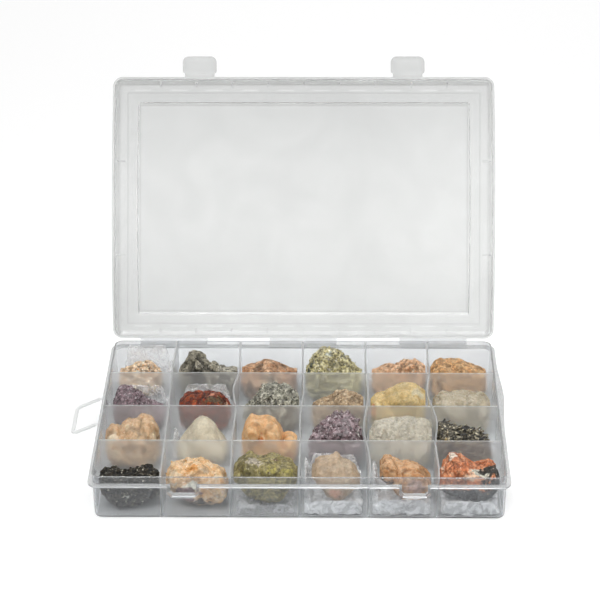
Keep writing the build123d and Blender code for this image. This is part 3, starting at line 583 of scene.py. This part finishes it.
# Each stone by its row and column: relief for carve, crystals for scatter and look for mineral.
STONES = {
    "1_1": dict(
        relief=[("folds", 5, 1.5), ("facets", 3, 0.8), ("grit", 1.8, 0.3)],
        look=dict(
            ground=[srgb(164, 130, 100), srgb(204, 174, 142), srgb(232, 214, 188)],
            grain=0.003, wax=0.15, painted_hollow_shade=0.55,
            specks=[(srgb(240, 232, 214), 2.4, 0.4), (srgb(200, 146, 78), 2.6, 0.26)],
        ),
    ),
    "1_2": dict(
        relief=[("facets", 8, 2.2), ("facets", 3, 0.9), ("grit", 1.8, 0.4)],
        look=dict(
            ground=[srgb(88, 84, 70), srgb(128, 122, 105), srgb(160, 154, 138)],
            grain=0.003, rough=0.7, painted_hollow_shade=0.75, contrast=0.4,
            patches=[
                (srgb(66, 60, 48), (0.4, 0.1, 0.8), 0.09, 0.05),
                (srgb(58, 46, 34), (0.56, 0.15, 0.78), 0.12, 0.05),
                (srgb(156, 152, 138), (0.9, 0.4, 0.75), 0.32, 0.1),
                (srgb(178, 156, 136), (0.5, 0.3, 0.95), 0.16, 0.1),
            ],
            specks=[(BLACK, 2.4, 0.36), (WHITE, 1.6, 0.24)],
        ),
    ),
    "1_3": dict(
        relief=[("facets", 6, 1.4), ("lobes", 4, 0.8), ("grit", 2, 0.3)],
        look=dict(
            ground=[srgb(136, 92, 60), srgb(172, 132, 98), srgb(196, 164, 134)],
            wax=0.12, painted_hollow_shade=0.6,
            patches=[(srgb(216, 186, 154), (0.49, 0.04, 0.76), 0.2, 0.04)],
            specks=[(srgb(218, 188, 156), 2.2, 0.2)],
        ),
    ),
    "1_4": dict(
        relief=[("facets", 5, 1.2), ("spikes", 2.4, 0.8), ("grit", 1.6, 0.3)],
        crystals=dict(count=240, width=(0.8, 1.7), length=(0.7, 1.6), sides=4, lean=0.7),
        look=dict(
            ground=[srgb(136, 126, 80), srgb(180, 170, 122), srgb(214, 208, 172)],
            grain=0.003, rough=0.4, gloss=0.6, contrast=0.45, tilt=0.8, painted_hollow_shade=0.5,
            patches=[
                (DARK_GREEN, (0.0, 0.3, 0.7), 0.16, 0.04),
                (srgb(84, 90, 68), (0.8, 0.4, 0.95), 0.2, 0.08),
                (DARK_GREEN, (0.97, 0.3, 0.75), 0.14, 0.04),
                (srgb(186, 190, 178), (0.45, 0.3, 1.02), 0.13, 0.05),
            ],
            specks=[(srgb(74, 76, 48), 2.6, 0.24), (WHITE, 2.2, 0.3)],
        ),
    ),
    "1_5": dict(
        relief=[("facets", 5, 1.3), ("grit", 2, 0.5)],
        look=dict(
            ground=[srgb(170, 120, 82), srgb(196, 154, 118), srgb(214, 184, 154)],
            wax=0.12,
            patches=[(srgb(214, 192, 166), (0.78, 0.05, 0.85), 0.14, 0.06)],
            specks=[(srgb(214, 192, 162), 2.4, 0.25)],
        ),
    ),
    "1_6": dict(
        relief=[("lobes", 2.6, 0.7), ("facets", 6, 1.0), ("grit", 1.8, 0.4)],
        look=dict(
            ground=[srgb(164, 116, 72), srgb(194, 150, 102), srgb(210, 176, 134)],
            grain=0.003, wax=0.15,
            patches=[(srgb(214, 206, 184), (0.6, 0.3, 1.0), 0.1, 0.05)],
            specks=[(srgb(220, 194, 154), 1.8, 0.3)],
        ),
    ),
    "2_1": dict(
        relief=[("lobes", 6, 0.9), ("spikes", 1.9, 0.7)],
        crystals=dict(count=420, width=(0.8, 1.5), length=(0.5, 1.2), lean=0.35),
        look=dict(
            ground=[srgb(88, 66, 72), srgb(122, 100, 106), srgb(150, 134, 140)],
            grain=0.003, rough=0.35, gloss=0.7, grit=1.1, tilt=0.9, contrast=0.5, painted_hollow_shade=0.5,
            patches=[(srgb(110, 92, 88), (0.8, 0.1, 0.5), 0.3, 0.2)],
            specks=[(srgb(214, 206, 208), 1.5, 0.26), (srgb(70, 52, 56), 2.0, 0.3)],
        ),
    ),
    "2_2": dict(
        relief=[("lobes", 5, 1.1), ("facets", 3, 0.6), ("grit", 1.8, 0.4)],
        look=dict(
            ground=[srgb(66, 14, 0), srgb(114, 36, 2), srgb(156, 74, 32)],
            grain=0.004, rough=0.42, gloss=0.3, wax=0.1, painted_hollow_shade=0.65,
            patches=[
                (srgb(88, 66, 40), (0.7, 0.3, 0.85), 0.22, 0.06),
                (srgb(200, 164, 136), (1.0, 0.4, 0.75), 0.14, 0.06),
                (srgb(176, 116, 92), (0.6, 0.5, 1.0), 0.12, 0.06),
            ],
            specks=[
                (srgb(36, 24, 14), 2.4, 0.34),
                (srgb(196, 170, 146), 1.5, 0.08),
                (srgb(92, 84, 46), 2.6, 0.12),
            ],
        ),
    ),
    "2_3": dict(
        relief=[("facets", 5, 1.5), ("spikes", 2.6, 1.0), ("grit", 1.6, 0.4)],
        crystals=dict(count=160, width=(0.8, 1.7), length=(0.8, 1.7), sides=4, lean=0.6),
        look=dict(
            ground=[srgb(104, 102, 86), srgb(148, 146, 130), srgb(190, 186, 172)],
            grain=0.003, rough=0.4, gloss=0.6, contrast=0.45, tilt=0.9, painted_hollow_shade=0.6,
            patches=[
                (srgb(76, 70, 52), (0.1, 0.1, 0.6), 0.2, 0.08),
                (srgb(196, 190, 172), (0.36, 0.0, 0.66), 0.1, 0.03),
                (srgb(200, 196, 178), (0.78, 0.05, 0.72), 0.13, 0.05),
            ],
            specks=[(srgb(64, 66, 52), 2.6, 0.34), (WHITE, 2.0, 0.3)],
        ),
    ),
    "2_4": dict(
        relief=[("facets", 6, 1.0), ("layers", 3, 0.4), ("grit", 2, 0.6)],
        look=dict(
            ground=[srgb(134, 110, 82), srgb(168, 144, 114), srgb(190, 170, 142)],
            grain=0.003, rough=0.65, painted_hollow_shade=0.35, contrast=0.25,
            patches=[(BLACK, (1.0, 0.1, 0.84), 0.1, 0.04)],
            specks=[(srgb(208, 194, 168), 2.0, 0.28), (srgb(116, 88, 60), 2.4, 0.26)],
        ),
    ),
    "2_5": dict(
        relief=[("lobes", 9, 0.8), ("facets", 5, 0.3), ("grit", 1.8, 0.3)],
        look=dict(
            ground=[srgb(188, 160, 104), srgb(202, 176, 122), srgb(212, 192, 146)],
            grain=0.006, rough=0.4, wax=0.3, grit=1.0, contrast=0.12, tilt=0.3, painted_hollow_shade=0.12,
            patches=[
                (srgb(208, 144, 92), (0.02, 0.15, 0.62), 0.16, 0.08),
                (srgb(204, 192, 160), (0.9, 0.3, 0.95), 0.18, 0.1),
            ],
            specks=[(srgb(96, 86, 58), 1.8, 0.0)],
        ),
    ),
    "2_6": dict(
        relief=[("facets", 8, 1.0), ("facets", 4, 0.4)],
        look=dict(
            ground=[srgb(158, 146, 122), srgb(172, 161, 138), srgb(188, 178, 158)],
            grain=0.007, rough=0.3, wax=0.4, gloss=0.5, contrast=0.08, tilt=0.3, painted_hollow_shade=0.14,
            specks=[(srgb(210, 204, 190), 2.2, 0.12)],
        ),
    ),
    "3_1": dict(
        relief=[("lobes", 7, 1.1), ("lobes", 3, 0.4)],
        look=dict(
            ground=[srgb(184, 144, 104), srgb(200, 168, 132), srgb(214, 190, 158)],
            grain=0.006, rough=0.4, wax=0.35, contrast=0.08, tilt=0.3, painted_hollow_shade=0.3,
            patches=[(srgb(212, 196, 170), (0.14, 0.05, 0.75), 0.18, 0.1)],
            specks=[(srgb(176, 122, 76), 2.6, 0.06), (srgb(228, 214, 188), 2.2, 0.16)],
        ),
    ),
    "3_2": dict(
        relief=[("facets", 12, 0.7), ("grit", 3, 0.12)],
        look=dict(
            ground=[srgb(190, 180, 156), srgb(202, 192, 169), srgb(212, 203, 182)],
            grain=0.012, rough=0.5, wax=0.25, contrast=0.06, tilt=0.12, painted_hollow_shade=0.12,
            specks=[(srgb(160, 142, 116), 1.6, 0.02)],
        ),
    ),
    "3_3": dict(
        relief=[("lobes", 8, 1.1), ("lobes", 3.5, 0.4)],
        look=dict(
            ground=[srgb(200, 146, 92), srgb(214, 168, 118), srgb(224, 190, 148)],
            grain=0.006, rough=0.42, wax=0.35, contrast=0.07, tilt=0.25, painted_hollow_shade=0.28,
            patches=[
                (srgb(190, 108, 42), (0.34, 0.05, 0.72), 0.12, 0.08),
                (srgb(216, 180, 144), (0.55, 0.02, 0.6), 0.14, 0.08),
            ],
        ),
    ),
    "3_4": dict(
        relief=[("lobes", 7, 1.2), ("facets", 4, 0.8)],
        crystals=dict(count=320, width=(1.6, 3.4), length=(1.0, 2.4), lean=0.35),
        look=dict(
            ground=[srgb(98, 76, 82), srgb(134, 112, 116), srgb(170, 154, 158)],
            grain=0.004, rough=0.16, gloss=0.9, grit=2.0, tilt=0.5, contrast=0.4, painted_hollow_shade=0.45,
            patches=[(srgb(196, 190, 184), (1.0, 0.3, 0.75), 0.16, 0.06)],
            specks=[(srgb(206, 196, 198), 1.8, 0.26), (srgb(78, 54, 60), 2.6, 0.26)],
        ),
    ),
    "3_5": dict(
        relief=[("facets", 9, 0.9), ("spikes", 2.2, 0.5), ("grit", 2, 0.3)],
        look=dict(
            ground=[srgb(178, 171, 154), srgb(187, 180, 163), srgb(196, 190, 175)],
            grain=0.003, rough=0.35, wax=0.25, contrast=0.1, painted_hollow_shade=0.1,
            specks=[(srgb(218, 214, 200), 1.6, 0.2)],
        ),
    ),
    "3_6": dict(
        relief=[("facets", 5, 1.3), ("folds", 3, 0.8)],
        crystals=dict(
            count=460, width=(1.0, 1.9), length=(2.5, 6.0),
            sides=4, point_share=0.2, lean=0.4, comb=(1.0, -0.3, -0.4),
        ),
        look=dict(
            ground=[srgb(10, 9, 6), srgb(84, 76, 57), srgb(206, 197, 170)],
            grain=0.003, rough=0.35, gloss=0.6, contrast=0.75, tilt=0.7, painted_hollow_shade=0.95,
            patches=[
                (srgb(160, 138, 88), (0.1, 0.05, 0.75), 0.12, 0.08),
                (srgb(156, 140, 96), (0.36, 0.05, 0.7), 0.1, 0.08),
            ],
            specks=[(srgb(212, 204, 184), 2.0, 0.26), (BLACK, 2.4, 0.34)],
        ),
    ),
    "4_1": dict(
        relief=[("facets", 6, 1.6), ("spikes", 3, 1.2), ("grit", 1.6, 0.6)],
        look=dict(
            ground=[srgb(8, 7, 4), srgb(20, 17, 11), srgb(64, 56, 40)],
            grain=0.0025, rough=0.5, gloss=0.25, contrast=0.6, tilt=0.9, painted_hollow_shade=0.8,
            patches=[(srgb(176, 176, 166), (0.5, 0.0, 0.45), 0.09, 0.04)],
            specks=[(srgb(226, 220, 202), 2.0, 0.24), (srgb(140, 130, 108), 1.4, 0.2)],
        ),
    ),
    "4_2": dict(
        relief=[("lobes", 7, 1.4), ("lobes", 3, 0.5), ("grit", 2, 0.3)],
        crystals=dict(count=60, width=(1.0, 2.0), length=(0.8, 1.6), lean=0.5),
        look=dict(
            ground=[srgb(202, 152, 98), srgb(218, 182, 138), srgb(232, 210, 180)],
            grain=0.005, rough=0.35, wax=0.3, contrast=0.14, tilt=0.35, painted_hollow_shade=0.28,
            patches=[
                (srgb(222, 218, 202), (0.44, 0.05, 0.6), 0.16, 0.05),
                (srgb(112, 86, 88), (0.33, 0.0, 0.42), 0.23, 0.05),
                (srgb(76, 66, 62), (0.55, 0.05, 0.15), 0.17, 0.05),
                (srgb(208, 148, 82), (0.42, 0.3, 0.95), 0.14, 0.08),
            ],
            specks=[(srgb(240, 230, 212), 2.2, 0.2)],
        ),
    ),
    "4_3": dict(
        relief=[("lobes", 6, 1.3), ("lobes", 3, 0.5), ("grit", 1.8, 0.4)],
        look=dict(
            ground=[srgb(100, 90, 50), srgb(132, 122, 74), srgb(162, 152, 108)],
            grain=0.004, rough=0.4, painted_hollow_shade=0.4,
            patches=[
                (srgb(164, 154, 84), (0.58, 0.1, 0.88), 0.12, 0.05),
                (srgb(172, 162, 144), (0.34, 0.3, 1.0), 0.17, 0.06),
                (srgb(94, 66, 48), (0.74, 0.4, 1.02), 0.13, 0.05),
                (srgb(156, 146, 80), (0.86, 0.1, 0.84), 0.12, 0.05),
                (srgb(142, 134, 74), (0.12, 0.1, 0.8), 0.12, 0.06),
            ],
            specks=[(srgb(84, 70, 44), 2.4, 0.24), (srgb(192, 184, 162), 2.0, 0.2)],
        ),
    ),
    "4_4": dict(
        relief=[("facets", 12, 0.9), ("facets", 4, 0.4), ("grit", 2.5, 0.3)],
        look=dict(
            ground=[srgb(170, 148, 121), srgb(183, 161, 136), srgb(195, 177, 153)],
            grain=0.006, rough=0.35, wax=0.25, contrast=0.1, tilt=0.25, painted_hollow_shade=0.14,
            patches=[
                (srgb(196, 156, 98), (0.86, 0.1, 0.86), 0.12, 0.08),
                (srgb(206, 160, 136), (0.5, 0.0, 0.3), 0.2, 0.12),
            ],
            specks=[(srgb(140, 106, 72), 1.6, 0.06)],
        ),
    ),
    "4_5": dict(
        relief=[("lobes", 6, 1.2), ("folds", 5, 0.5), ("grit", 2, 0.3)],
        look=dict(
            ground=[srgb(168, 114, 66), srgb(192, 146, 102), srgb(210, 176, 140)],
            grain=0.005, rough=0.36, wax=0.25, painted_hollow_shade=0.4, contrast=0.12, tilt=0.35,
            patches=[
                (srgb(56, 44, 34), (0.03, 0.1, 0.62), 0.13, 0.04),
                (srgb(64, 52, 42), (0.2, 0.02, 0.5), 0.12, 0.05),
                (srgb(204, 170, 156), (0.7, 0.0, 0.45), 0.24, 0.1),
            ],
            specks=[(srgb(226, 202, 172), 2.0, 0.2)],
        ),
    ),
    "4_6": dict(
        relief=[("facets", 5, 1.2), ("grit", 1.8, 0.6)],
        look=dict(
            ground=[srgb(158, 84, 46), srgb(196, 120, 78), srgb(220, 164, 126)],
            grain=0.0035, rough=0.5, painted_hollow_shade=0.45,
            patches=[
                (srgb(240, 224, 206), (0.16, 0.5, 1.0), 0.17, 0.05),
                (srgb(232, 204, 182), (0.0, 0.4, 0.75), 0.13, 0.05),
                (srgb(226, 190, 160), (0.5, 0.1, 0.74), 0.13, 0.05),
                (srgb(84, 86, 88), (0.5, 0.0, -0.62), 1.12, 0.1),
                (srgb(200, 198, 184), (0.7, 0.2, 0.8), 0.18, 0.04),
                (srgb(40, 39, 32), (0.93, 0.25, 0.56), 0.32, 0.04),
            ],
            specks=[(srgb(230, 206, 184), 1.8, 0.18)],
        ),
    ),
}
VOXEL = 0.75  # mm
ROUNDING = 2
GROWTH = 0.5  # mm that a stone gains where smoothing took it away
CREST_ROOM = 1.5  # mm that a stone's crest may pass its solid


def stones():
    """Every stone with its broken surface, crystals and colours, in place of its plain solid."""
    noise.seed_set(NOISE_SEED)
    for number, (name, recipe) in enumerate(STONES.items()):
        node = "specimen_" + name
        piece = even_copy(node, "stone_" + name, VOXEL, ROUNDING)
        carve(piece, node, number + 1, recipe["relief"], GROWTH, CREST_ROOM)
        for polygon in piece.data.polygons:
            polygon.use_smooth = True
        if "crystals" in recipe:
            scatter(piece, number, **recipe["crystals"])
        piece.data.materials.clear()
        piece.data.materials.append(mineral("mineral_" + name, **recipe["look"]))
        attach(piece, "stone_" + name)
        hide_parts(node)


# ---------------------------------------------------------------- the box
def grey(level, blue=0.0):
    """Grey of the plastic, faintly green, and bluer by the share blue."""
    return (level, level * (1.01 + 0.3 * blue), level * (1.004 + blue), 1.0)


def dress_box():
    """Plastics on the box's own nodes, each in the haze and tint that the photograph shows."""
    shell = polypropylene(
        "tray_plastic",
        tint=grey(0.78, 0.04),
        pale_tint=grey(0.83, 0.03),
        clearness=0.93,
        blur=0.12,
        lamp_share=0.8,
        edge=grey(0.64),
        slanted=1.24,
    )
    frosted = polypropylene(
        "divider_plastic",
        tint=grey(0.93, 0.02),
        pale_tint=grey(0.945, 0.02),
        clearness=0.89,
        blur=0.28,
        lamp_share=0.94,
        edge=grey(0.80),
    )
    tab = polypropylene(
        "latch_plastic",
        tint=grey(0.80),
        pale_tint=grey(0.82),
        clearness=0.84,
        blur=0.24,
        lamp_share=0.9,
        edge=grey(0.80),
        shade=latch_painted_light_and_shade,
    )
    grip = polypropylene(
        "handle_plastic",
        tint=grey(0.82),
        pale_tint=grey(0.85),
        clearness=0.5,
        blur=0.3,
        lamp_share=0.95,
        edge=grey(0.82),
    )
    lid = polypropylene(
        "lid_plastic",
        tint=grey(0.865),
        pale_tint=grey(0.90),
        clearness=0.84,
        blur=0.26,
        lamp_share=0.9,
        edge=grey(0.80),
        wave_depth=0.00001,
        shade=lid_painted_light_and_shade,
        slanted=1.05,
    )
    for node, piece in NODES.items():
        if node.startswith(("specimen_", "bag_")):
            continue
        if node.startswith(("column_", "row_")):
            material = frosted
        elif node.startswith("latch_"):
            material = tab
        elif node.startswith("lid_"):
            material = lid
        elif "handle" in node:
            material = grip
        else:
            material = shell
        piece.data.materials.clear()
        piece.data.materials.append(material)
    living_hinges(shell, tab, grip)


BAG_VOXEL = 1.1  # mm
BAG_RELIEF = [("facets", 9, 1.0), ("folds", 8, 0.8)]
BAG_SEED = 40  # of the first bag, clear of the stones' own seeds
FOLDED_BAGS = ("4_4", "4_5", "4_6")  # the bags that lie bunched up under their stone
CREASE_SIZE, FOLD_SIZE, FOLD_DEPTH = 0.008, 0.0022, 0.0002
BUNCHED_TO, STANDING_FROM = 0.011, 0.015  # heights between which bunched film gives way to standing film


def bag_film(name, thin, thick, standing):
    """Thin clear film, seen mostly by painted highlights along its creases and a painted sheen where it turns
    edge-on, and painted a little greyer in its hollows than on its high folds. thin and thick are the least
    and the most that it hides, and standing is the share of that where it stands up beside its stone."""
    g = Graph(name)
    height = g.node("ShaderNodeAttribute", attribute_name="relief").outputs["Fac"]
    crease = g.noise(CREASE_SIZE, detail=5.0, rough=0.6, warp=1.8)
    fold = g.noise(FOLD_SIZE, detail=4.0, rough=0.7, warp=1.2)
    # painted shade: the film is a little greyer in its hollows than on its high folds
    film = g.principled(
        Base_Color=g.mix(g.span(height, 0.2, 0.9), (0.92, 0.925, 0.935, 1), (0.985, 0.985, 0.985, 1)),
        Roughness=0.4,
        Normal=g.bump(fold, FOLD_DEPTH),
        Specular_IOR_Level=0.5,
    )
    edge_on = g.node("ShaderNodeLayerWeight", {"Blend": 0.35}).outputs["Facing"]
    # painted highlights along the creases, and painted sheen where the film turns edge-on
    share = g.math("ADD", g.span(crease, 0.42, 0.6, thin, thick), g.span(edge_on, 0.1, 0.9, 0.0, 0.12))
    upright = g.span(g.axis(g.place, "Z"), BUNCHED_TO, STANDING_FROM, 1.0, standing)
    share = g.math("MULTIPLY", share, upright)
    return g.finish(g.blend(share, g.clear(0.98), film))


def bags():
    """Every bag as crumpled film, in place of its plain solid."""
    faint = bag_film("bag_film", thin=0.08, thick=0.4, standing=1.0)
    dense = bag_film("bag_film_folded", thin=0.5, thick=0.95, standing=0.4)
    names = [node for node in NODES if node.startswith("bag_")]
    for number, node in enumerate(names):
        place = node.removeprefix("bag_")
        piece = even_copy(node, "crumpled_bag_" + place, BAG_VOXEL, 1)
        carve(piece, node, number + BAG_SEED, BAG_RELIEF, growth=0.0, room=0.0)
        piece.data.materials.clear()
        piece.data.materials.append(dense if place in FOLDED_BAGS else faint)
        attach(piece, "stone_" + place)
        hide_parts(node)


# ---------------------------------------------------------------- living hinges
FILM_STRIPS = 10
LEVEL_UP = ((0, 0, 0), (0, 1, 1))  # from the low front edge to the high rear one
OUT_AND_DOWN = ((1, 0, 1), (0, 0, 0))  # from the high right edge to the low left one


def bending_film(node, first, last, start_high, end_high, material, slot):
    """A node's film, cut into strips across its bend so that it follows both bodies. start_high and
    end_high say for each axis whether the end lies at the high side of the node's box."""
    low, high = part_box(node)
    start = Vector([high[k] if up else low[k] for k, up in enumerate(start_high)])
    end = Vector([high[k] if up else low[k] for k, up in enumerate(end_high)])
    mesh = bmesh.new()
    mesh.from_mesh(NODES[node].data)
    for step in range(1, FILM_STRIPS):
        everything = mesh.verts[:] + mesh.edges[:] + mesh.faces[:]
        at = start.lerp(end, step / FILM_STRIPS)
        bmesh.ops.bisect_plane(mesh, geom=everything, plane_co=at, plane_no=end - start)
    data = bpy.data.meshes.new("bending_" + node)
    mesh.to_mesh(data)
    mesh.free()
    piece = bpy.data.objects.new("bending_" + node, data)
    bpy.context.scene.collection.objects.link(piece)
    data.materials.append(material)
    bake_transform(piece, first, last, start, end)
    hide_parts(node)


def living_hinges(tray_material, latch_material, handle_material):
    """The films of the lid, of its two latches and of the handle."""
    for name in ("left", "centre", "right"):
        bending_film("hinge_film_" + name, "tray", "lid", *LEVEL_UP, tray_material, "tray_plastic")
    for name in ("left", "right"):
        body = f"latch_{name}_body"
        bending_film("latch_film_" + name, "lid", body, *LEVEL_UP, latch_material, "lid_plastic")
    for name in ("rear", "front"):
        bending_film("handle_film_" + name, "tray", "handle", *OUT_AND_DOWN, handle_material, "tray_plastic")


dress_box()
stones()
bags()
stage()
scene_camera()
bpy.context.scene.view_settings.view_transform = "Standard"
